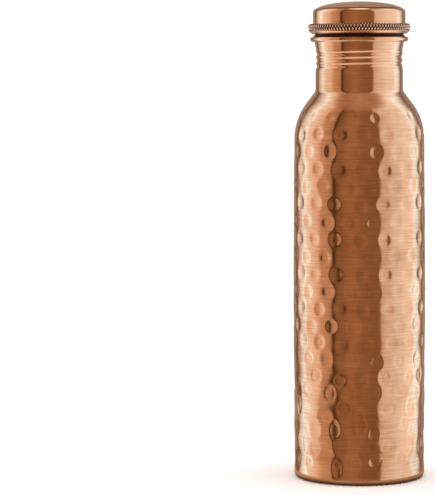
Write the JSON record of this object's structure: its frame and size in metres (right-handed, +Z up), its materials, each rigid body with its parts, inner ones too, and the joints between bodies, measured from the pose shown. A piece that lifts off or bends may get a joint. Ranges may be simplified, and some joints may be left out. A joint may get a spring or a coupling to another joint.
{
  "type": "copper water bottle",
  "caption": "Hammered copper water bottle with a rolled thread on its neck and a domed, knurled screw lid.",
  "frame": {"origin": "centre of the foot, on the surface that the bottle stands on", "axes": "+Z up along the bottle's axis; the bottle is turned, so +X and +Y have no meaning of their own"},
  "size_m": [0.0768, 0.0768, 0.277],
  "materials": {
    "hammered_copper": "satin",
    "brushed_copper": "satin",
    "knurled_copper": "satin",
    "silicone": "matte"
  },
  "bodies": {
    "bottle": {"body_shell": "hammered_copper", "base_disc": "brushed_copper", "neck_tube": "brushed_copper", "mouth_ring": "brushed_copper"},
    "seal": {"seal_ring": "silicone"},
    "lid": {"lid_cap": "brushed_copper", "grip_ring": "knurled_copper", "lid_plate": "brushed_copper", "plug_sleeve": "brushed_copper", "plug_end": "brushed_copper"}
  },
  "joints": [
    {"name": "lid_rise", "type": "slide", "parent": "bottle", "child": "seal", "axis": [0, 0, 1], "range_m": [0, 0.0222]},
    {"name": "lid_turn", "type": "hinge", "parent": "seal", "child": "lid", "pos_m": [0, 0, 0.2583], "axis": [0, 0, 1], "range_deg": [0, 2340]}
  ],
  "couplings": [
    {"joint": "lid_rise", "follows": "lid_turn", "m_per_rad": 0.00054113}
  ]
}
